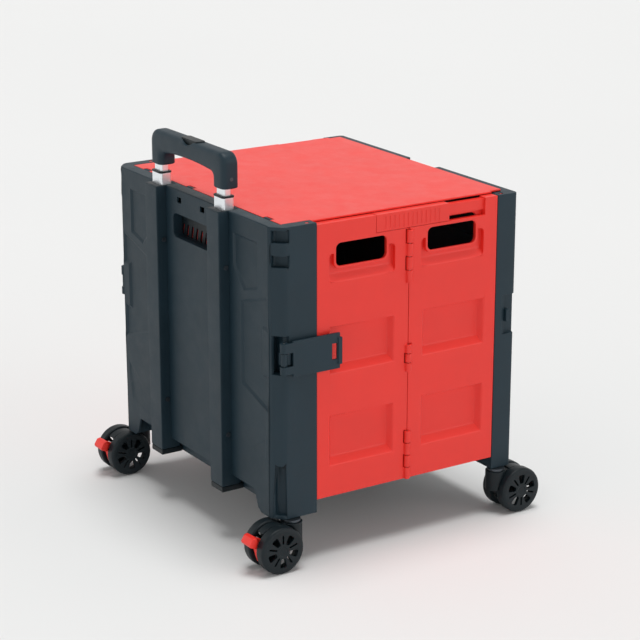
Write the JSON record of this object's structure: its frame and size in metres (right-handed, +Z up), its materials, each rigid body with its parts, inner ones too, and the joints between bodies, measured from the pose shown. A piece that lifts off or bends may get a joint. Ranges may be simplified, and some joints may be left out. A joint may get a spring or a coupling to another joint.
{
  "type": "folding platform cart",
  "caption": "Folding rolling crate cart with hinged side panels, drop floor, lid, pull handle and twin-wheel swivel casters.",
  "frame": {"origin": "on the ground, under the middle of the outer box, cart opened out", "axes": "+Z up, X across the cart, the pull handle and its shell face -Y"},
  "size_m": [0.437, 0.434, 0.4982],
  "materials": {
    "slate_plastic": "fine spark texture",
    "black_plastic": "satin",
    "red_plastic": "satin",
    "tube_aluminium": "clear anodised, drawn",
    "steel": "zinc plated",
    "blackened_steel": "black oxide",
    "wheel_plastic": "satin tread"
  },
  "bodies": {
    "handle_end": {"handle_shell": "slate_plastic", "grille_plate": "black_plastic", "grille_backing": "red_plastic", "rail_left": "slate_plastic", "rail_right": "slate_plastic", "rail_feet": "black_plastic", "rail_bushes": "black_plastic", "floor_hinge_rod": "steel", "lid_hinge_rod": "steel", "latch_pins": "steel", "shell_screws": "blackened_steel", "handle_castor_stems": "blackened_steel"},
    "lower_stage": {"lower_tube_left": "tube_aluminium", "lower_tube_right": "tube_aluminium", "lower_collars": "black_plastic", "lower_plugs": "black_plastic"},
    "upper_stage": {"upper_tube_left": "tube_aluminium", "upper_tube_right": "tube_aluminium", "upper_plugs": "black_plastic", "handle_grip": "slate_plastic", "grip_screws": "blackened_steel", "button_spring": "steel"},
    "button": {"release_button": "black_plastic"},
    "lid_body": {"lid": "red_plastic"},
    "floor_body": {"floor_panel": "black_plastic"},
    "left_front": {"left_front_panel": "red_plastic", "left_hinge_pin": "steel"},
    "left_back": {"left_back_panel": "red_plastic"},
    "right_front": {"right_front_panel": "red_plastic", "right_hinge_pin": "steel"},
    "right_back": {"right_back_panel": "red_plastic"},
    "left_bolt_body": {"left_bolt": "red_plastic"},
    "right_bolt_body": {"right_bolt": "red_plastic"},
    "far_end": {"far_shell": "slate_plastic", "far_castor_stems": "blackened_steel"},
    "left_latch_body": {"left_latch": "slate_plastic"},
    "right_latch_body": {"right_latch": "slate_plastic"},
    "castor_1": {"castor_body_1": "black_plastic", "castor_axle_1": "steel"},
    "wheels_1": {"castor_wheels_1": "wheel_plastic"},
    "castor_2": {"castor_body_2": "black_plastic", "castor_axle_2": "steel"},
    "wheels_2": {"castor_wheels_2": "wheel_plastic"},
    "castor_3": {"castor_body_3": "black_plastic", "castor_axle_3": "steel"},
    "wheels_3": {"castor_wheels_3": "wheel_plastic"},
    "castor_4": {"castor_body_4": "black_plastic", "castor_axle_4": "steel"},
    "wheels_4": {"castor_wheels_4": "wheel_plastic"},
    "brake_1": {"brake_lever_1": "red_plastic"},
    "brake_2": {"brake_lever_2": "red_plastic"}
  },
  "joints": [
    {"name": "lower_slide", "type": "slide", "parent": "handle_end", "child": "lower_stage", "axis": [0, 0, 1], "range_m": [0, 0.28]},
    {"name": "upper_slide", "type": "slide", "parent": "lower_stage", "child": "upper_stage", "axis": [0, 0, 1], "range_m": [0, 0.28]},
    {"name": "button_press", "type": "slide", "parent": "upper_stage", "child": "button", "axis": [0, 0, -1], "range_m": [0, 0.004], "stiffness_N_per_m": 400, "deforming": ["button_spring"]},
    {"name": "lid_hinge", "type": "hinge", "parent": "handle_end", "child": "lid_body", "pos_m": [0, -0.1533, 0.4249], "axis": [1, 0, 0], "range_deg": [0, 90]},
    {"name": "floor_hinge", "type": "hinge", "parent": "handle_end", "child": "floor_body", "pos_m": [0, -0.1465, 0.0725], "axis": [-1, 0, 0], "range_deg": [-90, 0]},
    {"name": "left_fold", "type": "hinge", "parent": "handle_end", "child": "left_front", "pos_m": [-0.1925, -0.1265, 0.25], "axis": [0, 0, 1], "range_deg": [-88.5, 0]},
    {"name": "left_back_fold", "type": "hinge", "parent": "left_front", "child": "left_back", "pos_m": [-0.2, 0.01675, 0.25], "axis": [0, 0, 1], "range_deg": [0, 177]},
    {"name": "far_end_fold", "type": "hinge", "parent": "left_back", "child": "far_end", "pos_m": [-0.1925, 0.16, 0.25], "axis": [0, 0, 1], "range_deg": [-88.5, 0]},
    {"name": "right_fold", "type": "hinge", "parent": "handle_end", "child": "right_front", "pos_m": [0.1925, -0.1265, 0.25], "axis": [0, 0, 1], "range_deg": [0, 88.5]},
    {"name": "right_back_fold", "type": "hinge", "parent": "right_front", "child": "right_back", "pos_m": [0.2, 0.01675, 0.25], "axis": [0, 0, 1], "range_deg": [-177, 0]},
    {"name": "left_bolt_slide", "type": "slide", "parent": "left_back", "child": "left_bolt_body", "axis": [0, 1, 0], "range_m": [0, 0.054]},
    {"name": "right_bolt_slide", "type": "slide", "parent": "right_back", "child": "right_bolt_body", "axis": [0, 1, 0], "range_m": [0, 0.054]},
    {"name": "left_latch_swing", "type": "hinge", "parent": "handle_end", "child": "left_latch_body", "pos_m": [-0.2015, -0.1643, 0.264], "axis": [0, 0, 1], "range_deg": [-2.4, 140]},
    {"name": "right_latch_swing", "type": "hinge", "parent": "handle_end", "child": "right_latch_body", "pos_m": [0.2015, -0.1643, 0.264], "axis": [0, 0, -1], "range_deg": [-2.4, 140]},
    {"name": "castor_1_swivel", "type": "hinge", "parent": "handle_end", "child": "castor_1", "pos_m": [-0.1955, -0.1515, 0.045], "axis": [0, 0, 1], "continuous": true},
    {"name": "castor_1_spin", "type": "hinge", "parent": "castor_1", "child": "wheels_1", "pos_m": [-0.1955, -0.177, 0.03], "axis": [1, 0, 0], "continuous": true},
    {"name": "castor_2_swivel", "type": "hinge", "parent": "handle_end", "child": "castor_2", "pos_m": [0.1955, -0.1515, 0.045], "axis": [0, 0, 1], "continuous": true},
    {"name": "castor_2_spin", "type": "hinge", "parent": "castor_2", "child": "wheels_2", "pos_m": [0.1955, -0.177, 0.03], "axis": [1, 0, 0], "continuous": true},
    {"name": "castor_3_swivel", "type": "hinge", "parent": "far_end", "child": "castor_3", "pos_m": [-0.1955, 0.1615, 0.045], "axis": [0, 0, 1], "continuous": true},
    {"name": "castor_3_spin", "type": "hinge", "parent": "castor_3", "child": "wheels_3", "pos_m": [-0.1955, 0.187, 0.03], "axis": [1, 0, 0], "continuous": true},
    {"name": "castor_4_swivel", "type": "hinge", "parent": "far_end", "child": "castor_4", "pos_m": [0.1955, 0.1615, 0.045], "axis": [0, 0, 1], "continuous": true},
    {"name": "castor_4_spin", "type": "hinge", "parent": "castor_4", "child": "wheels_4", "pos_m": [0.1955, 0.187, 0.03], "axis": [1, 0, 0], "continuous": true},
    {"name": "brake_1_press", "type": "hinge", "parent": "castor_1", "child": "brake_1", "pos_m": [-0.1955, -0.191, 0.036], "axis": [1, 0, 0], "range_deg": [0, 15]},
    {"name": "brake_2_press", "type": "hinge", "parent": "castor_2", "child": "brake_2", "pos_m": [0.1955, -0.191, 0.036], "axis": [1, 0, 0], "range_deg": [0, 15]}
  ],
  "couplings": [
    {"joint": "left_back_fold", "follows": "left_fold", "ratio": -2},
    {"joint": "far_end_fold", "follows": "left_fold", "ratio": 1},
    {"joint": "right_fold", "follows": "left_fold", "ratio": -1},
    {"joint": "right_back_fold", "follows": "left_fold", "ratio": 2}
  ]
}
